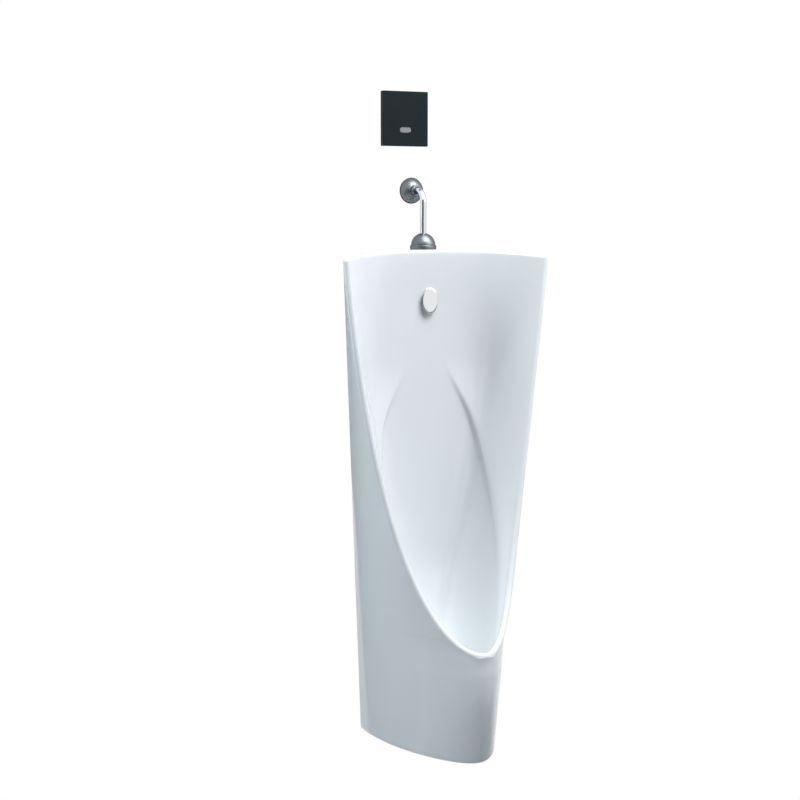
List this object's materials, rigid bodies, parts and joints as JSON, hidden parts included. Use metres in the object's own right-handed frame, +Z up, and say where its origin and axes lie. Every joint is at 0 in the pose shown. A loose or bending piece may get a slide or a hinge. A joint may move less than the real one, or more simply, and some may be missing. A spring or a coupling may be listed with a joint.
{
  "type": "wall-hung urinal",
  "caption": "Tall wall-hung ceramic urinal with flared wings, an exposed chrome flush pipe, a concealed sensor flush valve behind a black plate, and a bottle trap.",
  "frame": {"origin": "where the axis of the waste outlet meets the finished wall", "axes": "+Z up, +Y into the wall, the room is on the -Y side, x = 0 is the middle plane of the ceramic"},
  "size_m": [0.4264, 0.3652, 1.2355],
  "materials": {
    "vitreous_china": "gloss glaze",
    "galvanised_steel": "zinc plated",
    "stainless_steel": "plain",
    "nylon_grey": "moulded",
    "white_plastic": "moulded",
    "brass": "machined",
    "rubber": "moulded",
    "chrome": "polished",
    "satin_chrome": "satin",
    "black_plastic": "moulded",
    "black_satin": "satin",
    "grey_window": "tinted",
    "infrared_lens": "tinted",
    "battery_sleeve": "printed sleeve, left plain"
  },
  "bodies": {
    "fixed": {"urinal_body": "vitreous_china", "hanger_brackets": "galvanised_steel", "hanger_screws": "galvanised_steel", "lower_screws": "galvanised_steel", "lower_washers": "white_plastic", "wall_plugs": "nylon_grey", "waste_fitting": "brass", "waste_washer": "rubber", "lock_washer": "rubber", "waste_lock_nut": "brass", "inlet_nut": "white_plastic", "inlet_seal": "rubber", "trap_body": "white_plastic", "cup_seal": "rubber", "trap_cup": "white_plastic", "outlet_nut": "white_plastic", "outlet_seal": "rubber", "outlet_pipe": "white_plastic", "wall_flange": "white_plastic", "spreader_cap": "chrome", "spreader_body": "brass", "spreader_grommet": "rubber", "spud_gasket": "rubber", "spud": "brass", "slip_gasket": "rubber", "slip_nut": "brass", "flush_pipe": "chrome", "wall_escutcheon": "satin_chrome", "collar_nut": "satin_chrome", "pipe_o_ring": "rubber", "wall_elbow": "brass", "riser_pipe": "chrome", "union_gasket": "rubber", "union_nut": "brass", "valve_body": "brass", "valve_bonnet": "brass", "bonnet_screws": "galvanised_steel", "armature_tube": "stainless_steel", "solenoid_coil": "black_plastic", "plunger_spring": "stainless_steel", "stop_gland": "brass", "inlet_filter": "stainless_steel", "wall_box": "white_plastic", "battery_case": "black_plastic", "battery_cells": "battery_sleeve", "sensor_module": "black_plastic", "infrared_pair": "infrared_lens", "plate_gasket": "rubber", "plate_frame": "black_plastic", "frame_screws": "galvanised_steel"},
    "cover": {"cover_plate": "black_satin", "sensor_lens": "grey_window"},
    "plunger": {"plunger": "stainless_steel"},
    "piston": {"piston": "brass", "piston_seal": "rubber"},
    "stop_screw": {"stop_spindle": "brass"},
    "stop_plug": {"stop_plug": "brass"},
    "strainer": {"strainer": "stainless_steel"},
    "spud_cover": {"spud_cover": "satin_chrome"}
  },
  "joints": [
    {"name": "plate_release", "type": "slide", "parent": "fixed", "child": "cover", "axis": [0, -1, 0], "range_m": [0, 0.04]},
    {"name": "plunger_lift", "type": "slide", "parent": "fixed", "child": "plunger", "axis": [0, 0, 1], "range_m": [0, 0.003], "stiffness_N_per_m": 200, "springref_m": -0.004, "deforming": ["plunger_spring"]},
    {"name": "piston_lift", "type": "slide", "parent": "fixed", "child": "piston", "axis": [0, 0, 1], "range_m": [0, 0.005]},
    {"name": "stop_turn", "type": "hinge", "parent": "fixed", "child": "stop_screw", "pos_m": [0.014, 0.02, 1.084], "axis": [0, 1, 0], "range_deg": [0, 2880]},
    {"name": "stop_advance", "type": "slide", "parent": "fixed", "child": "stop_plug", "axis": [0, 1, 0], "range_m": [0, 0.012]},
    {"name": "strainer_lift", "type": "slide", "parent": "fixed", "child": "strainer", "axis": [0, 0, 1], "range_m": [0, 0.04]},
    {"name": "spud_cover_lift", "type": "slide", "parent": "fixed", "child": "spud_cover", "axis": [0, 0, 1], "range_m": [0, 0.05]}
  ],
  "couplings": [
    {"joint": "stop_turn", "follows": "stop_advance", "rad_per_m": 4188.8}
  ]
}
